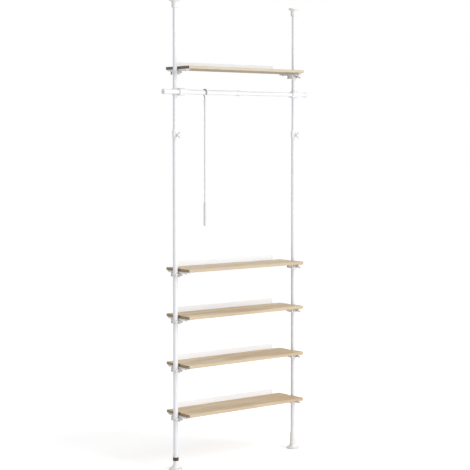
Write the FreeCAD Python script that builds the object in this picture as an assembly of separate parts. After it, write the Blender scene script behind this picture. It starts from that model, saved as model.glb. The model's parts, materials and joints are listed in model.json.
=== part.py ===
"""Tension pole shelf unit: two telescopic poles jammed between floor and ceiling carry five
narrow boards, a telescopic hanger bar and a hook rod that hangs on the bar.

Millimetres. +X runs along the boards to the right, +Y to the back, +Z up.
The origin is the bottom centre of the whole unit's box, on the floor.
"""
import FreeCAD, Part
import math
import os

V = FreeCAD.Vector
X_AXIS = V(1, 0, 0)
Y_AXIS = V(0, 1, 0)
Z_AXIS = V(0, 0, 1)
ORIGIN = V(0, 0, 0)

# ---------------------------------------------------------------- driving dimensions
HEIGHT = 2400.0                  # floor to ceiling
POLE_SPACING = 800.0             # between the two pole axes
RUN = 0.05                       # radial clearance of a part that turns or slides in a bore
SLIP = 0.3                       # radial gap between telescoping tubes
SEAT = 0.2                       # gap between hinge ears and between clamp jaws' lap faces
EDGE = 1.0                       # broken edge on the rims of moulded parts
THROUGH = 60.0                   # a drill this long goes right through a bracket
TOL = 1e-3                       # lengths nearer than this count as the same

# poles
LOWER_R = 12.5
LOWER_WALL = 1.2
LOWER_TOP = 1730.0
UPPER_R = LOWER_R - LOWER_WALL - SLIP
UPPER_WALL = 1.0
UPPER_OVERLAP = 255.0            # length of the upper tube that stays inside the lower one

# lock collar and its butterfly knob at the top of each lower tube
COLLAR_WALL = 3.0
COLLAR_BELOW = 25.0              # how far the collar reaches down the lower tube
COLLAR_ABOVE = 13.0              # how far it reaches up the upper tube
COLLAR_SLOPE = 3.0               # chamfer round the collar's upper rim
COLLAR_BOSS_R = 7.5
COLLAR_BOSS_OUT = 20.5           # face of the boss, from the pole axis
LOCK_KNOB_DROP = 14.0            # knob axis below the top of the lower tube
LOCK_KNOB_REACH = 24.0
LOCK_KNOB_SPREAD = 14.0
LOCK_KNOB_BLADE = 6.0
LOCK_KNOB_DEPTH = 10.0
LOCK_KNOB_HUB = 11.0
SCREW_R = 3.0                    # shank of every hand screw
SCREW_HOLE = SCREW_R + RUN
SCREW_TIP_GAP = 0.3              # between a hand screw's tip and the tube it locks

# ceiling pads
PAD_R = 29.0
PAD_T = 8.0
PAD_NECK_R = 17.0
PAD_NECK_H = 33.0
PAD_CAP = 6.0                    # solid plastic above the end of the tube
PAD_EDGE = 2.5
PAD_FLARE = 9.0                  # radius of the hollow curve between neck and flange

# screw-jack feet
FOOT_R = 34.5
FOOT_FLANGE = 9.0
FOOT_SHOULDER = 10.5             # from the flange's rim in to the bottom of the cone
FOOT_CONE = 19.0
FOOT_NECK_R = 13.5
FOOT_NECK = 18.0
FOOT_EDGE = 1.5                  # rounding of the rim on the floor
FOOT_RIM = 3.0                   # rounding of the flange's upper rim
FOOT_HOLLOW = 6.0                # radius of the hollow curves above and below the cone
JACK_RING_R = 15.0
JACK_RING_H = 18.0
JACK_RING_GRIPS = 12
JACK_GRIP_R = 1.6
JACK_STEM_R = 7.0
JACK_STEM_ABOVE = 60.0           # stem above the top of the jack ring
SLEEVE_FLOOR = 4.0               # flange of the foot sleeve under the end of the tube
SLEEVE_WALL = 1.8
SLEEVE_GRIP = 8.0                # length of sleeve round the tube
COVER_GAP = 0.6                  # between the cover and the jack ring
COVER_WALL = 1.8
COVER_FOOT = 16.0                # bottom edge of the cover, above the flange
COVER_STRAIGHT = 8.0             # the straight part ends this far below the top of the ring
COVER_TAPER = 1.2                # how much narrower the cover is at the top of the sleeve
COVER_TOP_R = 14.2
COVER_TOP_OVERLAP = 24.0         # cover above the top of the jack ring

# boards
BOARD_END_GAP = 14.0             # pole axis to the end of a board
SHELF_DEPTH = 200.0              # board and its back strip together
BOARD_T = 15.0
BOARD_CORNER = 3.0
BOARD_EDGE = 1.2
NOTCH_GAP = 2.5                  # how much wider than the clamp a board's end notch is, a side
BOARD_HEIGHTS = [279.0, 530.0, 780.0, 1020.0, 2049.0]     # undersides, from the floor up
STRIP_T = 1.2
STRIP_RISE = 28.0                # above the top of the board
STRIP_INSET = 50.0
STRIP_CORNER = 8.0

# shelf brackets: an arm under the board, and a two-part clamp round the pole
ARM_START = 10.0                 # pole axis to the arm's outer edge
ARM_W = 24.0
ARM_L = 166.0
ARM_T = 9.0
ARM_TIP_T = 5.0
ARM_TAPER = 30.0                 # length of the curved tip that thins the arm
ARM_CORNER = 4.0
ARM_BLOCK = 14.0                 # how far the clamp's block reaches inboard under the arm
POCKET_SKIN = 2.5                # plastic left over each pocket in the underside of the arm
POCKET_WALL = 2.6
POCKET_START = 6.0               # from the clamp to the first pocket
POCKETS = 2                      # between the clamp and each screw
CLAMP_WALL = 5.0
CLAMP_DOWN = 27.0                # bottom of the clamp, below the underside of the board
SPLIT = 0.4                      # half of the slit between the clamp's two parts
EAR_T = 2.0
EAR_R = 6.5
PIN_R = 3.5
PIN_IN = 6.0                     # hinge pin, inboard of the pole axis
PIN_BACK = 38.0
LUG_T = 4.5
LUG_H = 14.0
LUG_HALF_W = 6.5
LUG_GAP = 0.5                    # between the ring and the back of the inner lug
LUG_ROOT = 4.0                   # how far the inner lug runs into the block
LUG_ROOT_Y = -6.0                # where the lugs' roots end behind the ring's front
EAR_ROOT_X = -9.0                # where the jaw's ears start, beside and behind the axis
EAR_ROOT_Y = 15.0
KNOB_DROP = 18.5                 # knob axis below the underside of the board
KNOB_REACH = 20.0
KNOB_SPREAD = 10.0
KNOB_BLADE = 5.5
KNOB_DEPTH = 9.0
KNOB_HUB = 9.0
KNOB_TURN = 68.0                 # how far the knob has been turned from upright, degrees
ARM_SCREW_R = 2.0
ARM_SCREW_HEAD_R = 4.0
ARM_SCREW_HEAD_H = 2.4
ARM_SCREW_BITE = 11.0            # length in the board
ARM_SCREW_Y = 62.0
SCREW_BOSS_R = 6.0               # solid plastic round each of the arm's screws
STRIP_SCREW_R = 1.5
STRIP_SCREW_HEAD_R = 3.0
STRIP_SCREW_BITE = 12.0
STRIP_SCREWS = 3

# hanger bar
BAR_Z = 1934.0
BAR_R = 12.5
BAR_WALL = 1.2
BAR_INNER_R = BAR_R - BAR_WALL - SLIP
BAR_INNER_WALL = 1.0
BAR_POLE_GAP = 1.0               # between the bar and the pole that it crosses
BAR_LEFT_OVERHANG = 94.0
BAR_RIGHT_OVERHANG = 71.0
BAR_JOINT = 392.0                # from the left pole axis to the middle of the joint collar
BAR_JOINT_L = 20.0
BAR_JOINT_WALL = 2.0
BAR_OVERLAP = 160.0              # inner tube inside the outer one
BAR_CLAMP_START = 4.0            # inboard of the pole axis
BAR_CLAMP_L = 34.0
BAR_CLAMP_WALL = 7.0
BAR_CLAMP_RING_WALL = 5.0
BAR_CLAMP_RING_H = 34.0
BAR_CLAMP_WEB_H = 26.0
BAR_CLAMP_WEB_L = 24.0
BAR_CLAMP_WEB_BACK = 9.0         # how far the web reaches behind the pole axis
BAR_CLAMP_EDGE = 1.5
BAR_SCREW_X = 21.0               # inboard of the pole axis
BAR_SCREW_R = 4.0
BAR_SCREW_SINK = 1.0             # how far the set screw's outer end lies inside the sleeve
LEFT_CAP_R = 14.0
LEFT_CAP_L = 13.0
RIGHT_CAP_R = 13.0
RIGHT_CAP_L = 20.0
CAP_PLUG = 18.0
CAP_EDGE = 2.0
CAP_GROOVES = 2                  # rings round the right end cap
CAP_GROOVE_W = 1.6
CAP_GROOVE_D = 1.0

# hook rod
ROD_FROM_POLE = 172.0            # along the bar, from the left pole axis
HOOK_WIRE_R = 3.0
HOOK_CLEAR = 0.3                 # between the hook and the bar that it hangs on
HOOK_OPEN = 30.0                 # how far the hook's point comes down in front, degrees
HOOK_TURN = 50.0                 # how far the hook comes round behind and under, degrees
HOOK_TIP = 1.3                   # ball at the hook's point, times the wire
FERRULE_R = 5.0
FERRULE_TOP = 1901.0
FERRULE_L = 32.0
FERRULE_SOCKET = 20.0
FERRULE_LIP = 0.6                # plastic round the shaft at the ferrule's lower end
FERRULE_TAPER = 4.0
SHAFT_R = 3.6
GRIP_TOP = 1371.0
GRIP_BOTTOM = 1248.0
GRIP_R = 7.0
GRIP_TIP_R = 5.0
GRIP_SOCKET = 25.0
GRIP_END = 4.0                   # length of the grip's lower chamfer
GRIP_TAPER = 12.0

# ---------------------------------------------------------------- derived places
POLE_MID_X = (BAR_LEFT_OVERHANG - BAR_RIGHT_OVERHANG) / 2
LEFT_X = POLE_MID_X - POLE_SPACING / 2
RIGHT_X = POLE_MID_X + POLE_SPACING / 2
LOWER_INNER_R = LOWER_R - LOWER_WALL
UPPER_INNER_R = UPPER_R - UPPER_WALL
SLEEVE_R = LOWER_R + SLEEVE_WALL
BAR_Y = -(UPPER_R + BAR_POLE_GAP + BAR_R)
NECK_TOP = FOOT_FLANGE + FOOT_CONE + FOOT_NECK
RING_TOP = NECK_TOP + JACK_RING_H
TUBE_BOTTOM = RING_TOP + SLEEVE_FLOOR
LOCK_Z = LOWER_TOP - LOCK_KNOB_DROP
SLEEVE_TOP = TUBE_BOTTOM + SLEEVE_GRIP
UPPER_TOP = HEIGHT - PAD_CAP
LOWER_SHELVES = len(BOARD_HEIGHTS) - 1
BOARD_LEFT = LEFT_X + BOARD_END_GAP
BOARD_RIGHT = RIGHT_X - BOARD_END_GAP
BOARD_BACK = SHELF_DEPTH / 2 - STRIP_T


def cylinder(radius, length, base, axis=Z_AXIS):
    return Part.makeCylinder(radius, length, base, axis)


def box(low, high):
    return Part.makeBox(high[0] - low[0], high[1] - low[1], high[2] - low[2], V(*low))


def tube(r_out, r_in, base, length, axis=Z_AXIS):
    """A hollow round tube from base along axis."""
    return cylinder(r_out, length, base, axis).cut(cylinder(r_in, length, base, axis))


def moved(shape, x=0.0, y=0.0, z=0.0):
    copy = shape.copy()
    copy.translate(V(x, y, z))
    return copy


def mirrored(shape):
    """The right-hand twin of a left-hand piece."""
    return shape.mirror(ORIGIN, X_AXIS)


def at_pole(shape, side, z=0.0):
    """Place a piece modelled for the left pole, with the pole axis as its own Z axis."""
    if side == "left":
        return moved(shape, LEFT_X, 0, z)
    return moved(mirrored(shape), RIGHT_X, 0, z)


def export(node, *solids):
    shape = solids[0] if len(solids) == 1 else Part.makeCompound(list(solids))
    shape.exportStep("parts/%s.step" % node)


def round_edges(shape, radius, wanted):
    """Fillet the edges for which wanted(edge) is true."""
    edges = [edge for edge in shape.Edges if wanted(edge)]
    return shape.makeFillet(radius, edges)


def is_circle(edge):
    return isinstance(edge.Curve, Part.Circle)


def is_circle_at(z, radius):
    """Tell the round edge of this radius at this height."""
    def wanted(edge):
        flat = edge.BoundBox.ZLength < TOL and abs(edge.BoundBox.ZMin - z) < TOL
        return flat and is_circle(edge) and abs(edge.Curve.Radius - radius) < TOL
    return wanted


def profile_solid(points):
    """Turn a closed outline of (radius, height) points about the Z axis."""
    wire = Part.makePolygon([V(r, 0, z) for r, z in points + points[:1]])
    return Part.Face(wire).revolve(ORIGIN, Z_AXIS, 360)


# ---------------------------------------------------------------- hand screws
def butterfly_knob(reach, spread, blade, depth, hub, screw_length):
    """A two-winged hand screw. Its axis is Y: the head reaches to -Y, the screw to +Y."""
    solid = cylinder(blade, hub, ORIGIN, V(0, -1, 0))
    tip_y = -(reach - blade / 2)
    tip_z = spread
    root_y = -blade / 2
    length = math.hypot(tip_y - root_y, tip_z)
    tilt = math.degrees(math.atan2(tip_z, root_y - tip_y))
    for side in (1, -1):
        wing = box((-depth / 2, -length, -blade / 2), (depth / 2, 0, blade / 2))
        wing = wing.fuse(cylinder(blade / 2, depth, V(-depth / 2, -length, 0), X_AXIS))
        wing.rotate(ORIGIN, X_AXIS, -side * tilt)
        solid = solid.fuse(moved(wing, 0, root_y, 0))
    return solid.fuse(cylinder(SCREW_R, screw_length, ORIGIN, Y_AXIS)).removeSplitter()


# ---------------------------------------------------------------- poles
def lower_tube():
    length = LOWER_TOP - TUBE_BOTTOM
    body = tube(LOWER_R, LOWER_INNER_R, V(0, 0, TUBE_BOTTOM), length)
    hole = cylinder(SCREW_HOLE, LOWER_R + RUN, V(0, 0, LOCK_Z), V(0, -1, 0))
    return body.cut(hole)


def upper_tube():
    bottom = LOWER_TOP - UPPER_OVERLAP
    return tube(UPPER_R, UPPER_INNER_R, V(0, 0, bottom), UPPER_TOP - bottom)


def lock_collar():
    r_out = LOWER_R + COLLAR_WALL
    low = LOWER_TOP - COLLAR_BELOW
    high = LOWER_TOP + COLLAR_ABOVE
    body = profile_solid([(0, low), (r_out - EDGE, low), (r_out, low + EDGE),
                          (r_out, high - COLLAR_SLOPE), (r_out - COLLAR_SLOPE, high), (0, high)])
    body = body.fuse(cylinder(COLLAR_BOSS_R, COLLAR_BOSS_OUT, V(0, 0, LOCK_Z), V(0, -1, 0)))
    body = body.cut(cylinder(LOWER_R + RUN, COLLAR_BELOW, V(0, 0, low)))
    body = body.cut(cylinder(UPPER_R + RUN, COLLAR_ABOVE, V(0, 0, LOWER_TOP)))
    return body.cut(cylinder(SCREW_HOLE, COLLAR_BOSS_OUT, V(0, 0, LOCK_Z), V(0, -1, 0)))


def lock_knob():
    screw = COLLAR_BOSS_OUT - UPPER_R - SCREW_TIP_GAP
    knob = butterfly_knob(LOCK_KNOB_REACH, LOCK_KNOB_SPREAD, LOCK_KNOB_BLADE, LOCK_KNOB_DEPTH,
                          LOCK_KNOB_HUB, screw)
    return moved(knob, 0, -COLLAR_BOSS_OUT, LOCK_Z)


def ceiling_pad():
    neck_bottom = HEIGHT - PAD_T - PAD_NECK_H
    flange_bottom = HEIGHT - PAD_T
    body = profile_solid([(0, neck_bottom), (PAD_NECK_R - EDGE, neck_bottom),
                          (PAD_NECK_R, neck_bottom + EDGE), (PAD_NECK_R, flange_bottom),
                          (PAD_R, flange_bottom), (PAD_R, HEIGHT), (0, HEIGHT)])
    body = round_edges(body, PAD_FLARE, is_circle_at(flange_bottom, PAD_NECK_R))
    body = round_edges(body, PAD_EDGE, is_circle_at(flange_bottom, PAD_R))
    body = round_edges(body, EDGE, is_circle_at(HEIGHT, PAD_R))
    return body.cut(cylinder(UPPER_R + RUN, UPPER_TOP - neck_bottom, V(0, 0, neck_bottom)))


def foot():
    cone_top = FOOT_FLANGE + FOOT_CONE
    cone_r = FOOT_R - FOOT_SHOULDER
    body = profile_solid([(0, 0), (FOOT_R, 0), (FOOT_R, FOOT_FLANGE), (cone_r, FOOT_FLANGE),
                          (FOOT_NECK_R, cone_top), (FOOT_NECK_R, NECK_TOP), (0, NECK_TOP)])
    body = round_edges(body, FOOT_HOLLOW, is_circle_at(FOOT_FLANGE, cone_r))
    body = round_edges(body, FOOT_HOLLOW, is_circle_at(cone_top, FOOT_NECK_R))
    body = round_edges(body, FOOT_RIM, is_circle_at(FOOT_FLANGE, FOOT_R))
    body = round_edges(body, FOOT_EDGE, is_circle_at(0, FOOT_R))
    stem = cylinder(JACK_STEM_R, RING_TOP + JACK_STEM_ABOVE - NECK_TOP, V(0, 0, NECK_TOP))
    return body.fuse(stem).removeSplitter()


def jack_ring():
    body = cylinder(JACK_RING_R, JACK_RING_H, V(0, 0, NECK_TOP))
    for grip in range(JACK_RING_GRIPS):
        angle = 2 * math.pi * grip / JACK_RING_GRIPS
        place = V(JACK_RING_R * math.cos(angle), JACK_RING_R * math.sin(angle), NECK_TOP)
        body = body.cut(cylinder(JACK_GRIP_R, JACK_RING_H, place))
    return body.cut(cylinder(JACK_STEM_R + RUN, JACK_RING_H, V(0, 0, NECK_TOP)))


def foot_sleeve():
    length = SLEEVE_FLOOR + SLEEVE_GRIP
    body = cylinder(SLEEVE_R, length, V(0, 0, RING_TOP))
    body = body.cut(cylinder(LOWER_R + RUN, SLEEVE_GRIP, V(0, 0, TUBE_BOTTOM)))
    return body.cut(cylinder(JACK_STEM_R + RUN, SLEEVE_FLOOR, V(0, 0, RING_TOP)))


def foot_cover():
    """The cover that stands on the foot's cone and hides the jack: it closes in round the tube."""
    low = FOOT_FLANGE + COVER_FOOT
    high = RING_TOP + COVER_TOP_OVERLAP
    inner = JACK_RING_R + COVER_GAP
    outer = inner + COVER_WALL
    step = RING_TOP + SLIP
    shoulder = SLEEVE_TOP + SLIP
    bore = LOWER_R + SLIP
    return profile_solid([(inner, low), (outer, low), (outer, RING_TOP - COVER_STRAIGHT),
                          (outer - COVER_TAPER, shoulder), (COVER_TOP_R, high), (bore, high),
                          (bore, shoulder), (SLEEVE_R + SLIP, shoulder), (SLEEVE_R + SLIP, step),
                          (inner, step)])


# ---------------------------------------------------------------- shelf brackets
def clamp_ring(pole_r, side):
    """Half of the ring round the pole: side +1 is the inboard half, -1 the outer one."""
    r_out = pole_r + CLAMP_WALL
    body = tube(r_out, pole_r + RUN, V(0, 0, -CLAMP_DOWN), CLAMP_DOWN - ARM_T)
    keep = box((SPLIT, -r_out, -CLAMP_DOWN), (r_out, r_out, -ARM_T))
    if side < 0:
        keep = mirrored(keep)
    return body.common(keep)


def stadium(a, b, radius, z, height):
    """A plate with round ends, from centre a to centre b in plan."""
    length = math.hypot(b[0] - a[0], b[1] - a[1])
    plate = box((0, -radius, 0), (length, radius, height))
    plate.rotate(ORIGIN, Z_AXIS, math.degrees(math.atan2(b[1] - a[1], b[0] - a[0])))
    plate = moved(plate, a[0], a[1], 0)
    plate = plate.fuse(cylinder(radius, height, V(a[0], a[1], 0)))
    plate = plate.fuse(cylinder(radius, height, V(b[0], b[1], 0)))
    return moved(plate, 0, 0, z)


def hinge_ears(start, upper_z, lower_z):
    """Two ears, from start in plan to the hinge pin."""
    pin = (PIN_IN, PIN_BACK)
    return stadium(start, pin, EAR_R, upper_z, EAR_T).fuse(
        stadium(start, pin, EAR_R, lower_z, EAR_T))


def lug_faces(pole_r):
    """Where the two lapped front lugs stand: inner lug's back, the lap, outer lug's front."""
    back = -(pole_r + CLAMP_WALL + LUG_GAP)
    lap = back - LUG_T
    return back, lap, lap - SEAT - LUG_T


def arm():
    """The flat arm under the end of a board, with thin curved tips."""
    half = ARM_L / 2
    rise = ARM_T - ARM_TIP_T
    radius = (ARM_TAPER ** 2 + rise ** 2) / (2 * rise)
    body = box((ARM_START, -half, -ARM_T), (ARM_START + ARM_W, half, 0))
    body = round_edges(body, ARM_CORNER, lambda edge: edge.BoundBox.ZLength > ARM_TIP_T)
    keep = box((ARM_START, ARM_TAPER - half, -ARM_T), (ARM_START + ARM_W, half - ARM_TAPER, 0))
    for end in (1, -1):
        centre = V(ARM_START, end * (half - ARM_TAPER), radius - ARM_T)
        keep = keep.fuse(cylinder(radius, ARM_W, centre, X_AXIS))
    return body.common(keep)


def arm_pockets(pole_r):
    """The hollows between the ribs in the underside of an arm."""
    first = pole_r + CLAMP_WALL + POCKET_START
    step = (ARM_SCREW_Y - SCREW_BOSS_R - first) / POCKETS
    low = ARM_START + POCKET_WALL
    high = ARM_START + ARM_W - POCKET_WALL
    pockets = []
    for index in range(POCKETS):
        near = first + step * index
        far = near + step - POCKET_WALL
        pockets.append(box((low, near, -ARM_T), (high, far, -POCKET_SKIN)))
        pockets.append(box((low, -far, -ARM_T), (high, -near, -POCKET_SKIN)))
    return pockets


def lug_heights():
    return -KNOB_DROP - LUG_H / 2, -KNOB_DROP + LUG_H / 2


def clamp_holes(pole_r):
    """What the pole, the hinge pin and the hand screw take out of either part of a clamp."""
    return [cylinder(pole_r + RUN, CLAMP_DOWN, V(0, 0, -CLAMP_DOWN)),
            cylinder(PIN_R + RUN, CLAMP_DOWN, V(PIN_IN, PIN_BACK, -CLAMP_DOWN)),
            cylinder(SCREW_HOLE, THROUGH, V(0, 0, -KNOB_DROP), V(0, -1, 0))]


def bracket(pole_r):
    """The arm under the end of a board, in one piece with the inboard half of the clamp."""
    back, lap, _ = lug_faces(pole_r)
    r_out = pole_r + CLAMP_WALL
    low, high = lug_heights()
    block = box((ARM_START, -r_out, -CLAMP_DOWN), (ARM_START + ARM_BLOCK, r_out, -ARM_T))
    body = arm().cut(arm_pockets(pole_r)).fuse(clamp_ring(pole_r, 1)).fuse(block)
    ears = hinge_ears((ARM_START, r_out), -ARM_T - EAR_T, -CLAMP_DOWN)
    outer_side = box((-THROUGH, -THROUGH, -CLAMP_DOWN), (SPLIT, r_out, 0))
    body = body.fuse(ears.cut(outer_side))
    body = body.fuse(box((-LUG_HALF_W, lap, low), (ARM_START + LUG_ROOT, back, high)))
    body = body.fuse(box((SPLIT, back, low), (ARM_START + LUG_ROOT, LUG_ROOT_Y, high)))
    for y in (ARM_SCREW_Y, -ARM_SCREW_Y):
        place = V(ARM_START + ARM_W / 2, y, -ARM_T)
        body = body.cut(cylinder(ARM_SCREW_R + RUN, ARM_T, place))
    return body.cut(clamp_holes(pole_r)).removeSplitter()


def jaw(pole_r):
    """The outer half of the clamp, hinged at the back and lapped over the front lug."""
    _, lap, front = lug_faces(pole_r)
    r_out = pole_r + CLAMP_WALL
    low, high = lug_heights()
    upper = -ARM_T - 2 * EAR_T - SEAT
    lower = -CLAMP_DOWN + EAR_T + SEAT
    ears = hinge_ears((EAR_ROOT_X, EAR_ROOT_Y), upper, lower)
    inner_side = cylinder(r_out + SLIP, CLAMP_DOWN, V(0, 0, -CLAMP_DOWN)).common(
        box((-SPLIT, -THROUGH, -CLAMP_DOWN), (THROUGH, THROUGH, 0)))
    wall_side = box((ARM_START - SLIP, -THROUGH, -CLAMP_DOWN), (THROUGH, r_out + SLIP, 0))
    body = clamp_ring(pole_r, -1).fuse(ears.cut(inner_side).cut(wall_side))
    body = body.fuse(box((-r_out, front, low), (LUG_HALF_W, lap - SEAT, high)))
    body = body.fuse(box((-r_out, lap - SEAT, low), (-LUG_HALF_W - SEAT, LUG_ROOT_Y, high)))
    return body.cut(clamp_holes(pole_r)).removeSplitter()


def hinge_pin():
    return cylinder(PIN_R, CLAMP_DOWN - ARM_T, V(PIN_IN, PIN_BACK, -CLAMP_DOWN))


def clamp_knob(pole_r):
    front = lug_faces(pole_r)[2]
    screw = -front - pole_r - SCREW_TIP_GAP
    knob = butterfly_knob(KNOB_REACH, KNOB_SPREAD, KNOB_BLADE, KNOB_DEPTH, KNOB_HUB, screw)
    knob.rotate(ORIGIN, Y_AXIS, KNOB_TURN)
    return moved(knob, 0, front, -KNOB_DROP)


def arm_screw(y):
    place = V(ARM_START + ARM_W / 2, y, -ARM_T)
    head = cylinder(ARM_SCREW_HEAD_R, ARM_SCREW_HEAD_H, place, V(0, 0, -1))
    return head.fuse(cylinder(ARM_SCREW_R, ARM_T + ARM_SCREW_BITE, place)).removeSplitter()


# ---------------------------------------------------------------- boards
def strip_screw_xs():
    length = BOARD_RIGHT - BOARD_LEFT - 2 * STRIP_INSET
    step = length / STRIP_SCREWS
    first = BOARD_LEFT + STRIP_INSET + step / 2
    return [first + step * index for index in range(STRIP_SCREWS)]


def board(pole_r):
    """One board at height 0, notched at both ends, with pilot holes for its screws."""
    body = box((BOARD_LEFT, -SHELF_DEPTH / 2, 0), (BOARD_RIGHT, BOARD_BACK, BOARD_T))
    body = round_edges(body, BOARD_CORNER, lambda edge: edge.BoundBox.ZLength > TOL)
    body = round_edges(body, BOARD_EDGE, lambda edge: edge.BoundBox.ZLength < TOL)
    half = pole_r + CLAMP_WALL + NOTCH_GAP
    depth = half + NOTCH_GAP
    for side, x in (("left", LEFT_X), ("right", RIGHT_X)):
        body = body.cut(box((x - depth, -half, 0), (x + depth, half, BOARD_T)))
        for y in (ARM_SCREW_Y, -ARM_SCREW_Y):
            pilot = cylinder(ARM_SCREW_R + RUN, ARM_SCREW_BITE + RUN,
                             V(ARM_START + ARM_W / 2, y, 0))
            body = body.cut(at_pole(pilot, side))
    for x in strip_screw_xs():
        body = body.cut(cylinder(STRIP_SCREW_R + RUN, STRIP_SCREW_BITE + RUN,
                                 V(x, BOARD_BACK, BOARD_T / 2), V(0, -1, 0)))
    return body


def strip_screw(x):
    """A countersunk screw, flush with the back of the strip."""
    back = SHELF_DEPTH / 2
    head = Part.makeCone(STRIP_SCREW_HEAD_R, STRIP_SCREW_R, STRIP_T, V(x, back, BOARD_T / 2),
                         V(0, -1, 0))
    shank = cylinder(STRIP_SCREW_R, STRIP_SCREW_BITE, V(x, BOARD_BACK, BOARD_T / 2), V(0, -1, 0))
    return head.fuse(shank).removeSplitter()


def back_strip():
    """The thin upright strip along the back edge that keeps things from sliding off."""
    low = V(BOARD_LEFT + STRIP_INSET, BOARD_BACK, 0)
    plate = Part.makeBox(BOARD_RIGHT - BOARD_LEFT - 2 * STRIP_INSET, STRIP_T,
                         BOARD_T + STRIP_RISE, low)
    plate = round_edges(plate, STRIP_CORNER, lambda edge: (
        edge.BoundBox.YLength > TOL and edge.BoundBox.ZMin > BOARD_T))
    for x in strip_screw_xs():
        plate = plate.cut(Part.makeCone(STRIP_SCREW_HEAD_R + RUN, STRIP_SCREW_R + RUN, STRIP_T,
                                        V(x, SHELF_DEPTH / 2, BOARD_T / 2), V(0, -1, 0)))
    return plate


def export_shelf(number, z, pole_r):
    name = "shelf_%d" % number
    export(name + "_board", moved(board(pole_r), 0, 0, z))
    export(name + "_back_strip", moved(back_strip(), 0, 0, z))
    sides = ("left", "right")
    export(name + "_brackets", *[at_pole(bracket(pole_r), side, z) for side in sides])
    export(name + "_jaws", *[at_pole(jaw(pole_r), side, z) for side in sides])
    fasteners = [moved(strip_screw(x), 0, 0, z) for x in strip_screw_xs()]
    for side in sides:
        fasteners.append(at_pole(hinge_pin(), side, z))
        fasteners += [at_pole(arm_screw(y), side, z) for y in (ARM_SCREW_Y, -ARM_SCREW_Y)]
        export(name + "_knob_" + side, at_pole(clamp_knob(pole_r), side, z))
    export(name + "_fasteners", *fasteners)


# ---------------------------------------------------------------- hanger bar
def bar_clamp(bar_r):
    """A cross clamp, modelled at the left pole: a ring on the pole and a sleeve on the bar."""
    ring_low = BAR_Z - BAR_CLAMP_RING_H / 2
    web_low = BAR_Z - BAR_CLAMP_WEB_H / 2
    sleeve_r = bar_r + BAR_CLAMP_WALL
    ring = cylinder(UPPER_R + BAR_CLAMP_RING_WALL, BAR_CLAMP_RING_H, V(0, 0, ring_low))
    ring = round_edges(ring, BAR_CLAMP_EDGE, is_circle)
    sleeve = cylinder(sleeve_r, BAR_CLAMP_L, V(BAR_CLAMP_START, BAR_Y, BAR_Z), X_AXIS)
    sleeve = round_edges(sleeve, BAR_CLAMP_EDGE, is_circle)
    web = box((BAR_CLAMP_START + BAR_CLAMP_EDGE, BAR_Y, web_low),
              (BAR_CLAMP_START + BAR_CLAMP_WEB_L, BAR_CLAMP_WEB_BACK, web_low + BAR_CLAMP_WEB_H))
    body = ring.fuse(sleeve).fuse(web)
    pole_hole = cylinder(UPPER_R + RUN, 2 * THROUGH, V(0, 0, BAR_Z - THROUGH))
    bar_hole = cylinder(bar_r + RUN, 2 * THROUGH, V(-THROUGH, BAR_Y, BAR_Z), X_AXIS)
    screw_hole = cylinder(BAR_SCREW_R + RUN, THROUGH, V(BAR_SCREW_X, BAR_Y, BAR_Z), V(0, 0, -1))
    return body.cut([pole_hole, bar_hole, screw_hole]).removeSplitter()


def bar_screw(bar_r):
    """The headless set screw in the sleeve's underside: its tip ends just short of the bar."""
    low = BAR_Z - bar_r - BAR_CLAMP_WALL + BAR_SCREW_SINK
    length = BAR_CLAMP_WALL - BAR_SCREW_SINK - SCREW_TIP_GAP
    return cylinder(BAR_SCREW_R, length, V(BAR_SCREW_X, BAR_Y, low))


def tube_cap(r_out, length, plug_r):
    """An end cap for the bar's left end: its plug points to +X."""
    body = cylinder(r_out, length, ORIGIN, X_AXIS)
    body = round_edges(body, CAP_EDGE, lambda edge: is_circle(edge) and edge.BoundBox.XMax < TOL)
    return body.fuse(cylinder(plug_r, CAP_PLUG, V(length, 0, 0), X_AXIS)).removeSplitter()


def ringed_cap(r_out, length, plug_r):
    """The same cap with grooves turned into it, evenly spaced along its length."""
    body = tube_cap(r_out, length, plug_r)
    step = length / (CAP_GROOVES + 1)
    for index in range(CAP_GROOVES):
        base = V(step * (index + 1) - CAP_GROOVE_W / 2, 0, 0)
        body = body.cut(tube(r_out + EDGE, r_out - CAP_GROOVE_D, base, CAP_GROOVE_W, X_AXIS))
    return body


def export_bar():
    axis = V(0, BAR_Y, BAR_Z)
    joint = LEFT_X + BAR_JOINT
    outer_end = joint - BAR_JOINT_L / 2
    left_end = LEFT_X - BAR_LEFT_OVERHANG
    right_end = RIGHT_X + BAR_RIGHT_OVERHANG
    outer_start = left_end + LEFT_CAP_L
    outer = tube(BAR_R, BAR_R - BAR_WALL, axis, joint - outer_start, X_AXIS)
    export("bar_outer_tube", moved(outer, outer_start))
    inner_start = outer_end - BAR_OVERLAP
    inner_length = right_end - RIGHT_CAP_L - inner_start
    inner = tube(BAR_INNER_R, BAR_INNER_R - BAR_INNER_WALL, axis, inner_length, X_AXIS)
    export("bar_inner_tube", moved(inner, inner_start))
    collar = cylinder(BAR_R + BAR_JOINT_WALL, BAR_JOINT_L, axis, X_AXIS)
    collar = collar.cut(cylinder(BAR_R + RUN, BAR_JOINT_L / 2, axis, X_AXIS))
    collar = collar.cut(cylinder(BAR_INNER_R + RUN, BAR_JOINT_L, axis, X_AXIS))
    export("bar_joint_collar", moved(collar, outer_end))
    export("bar_clamps", at_pole(bar_clamp(BAR_R), "left"), at_pole(bar_clamp(BAR_INNER_R), "right"))
    export("bar_clamp_screws", at_pole(bar_screw(BAR_R), "left"),
           at_pole(bar_screw(BAR_INNER_R), "right"))
    export("bar_cap_left", moved(tube_cap(LEFT_CAP_R, LEFT_CAP_L, BAR_R - BAR_WALL - RUN),
                                 left_end, BAR_Y, BAR_Z))
    right_cap = mirrored(ringed_cap(RIGHT_CAP_R, RIGHT_CAP_L, BAR_INNER_R - BAR_INNER_WALL - RUN))
    export("bar_cap_right", moved(right_cap, right_end, BAR_Y, BAR_Z))


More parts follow.
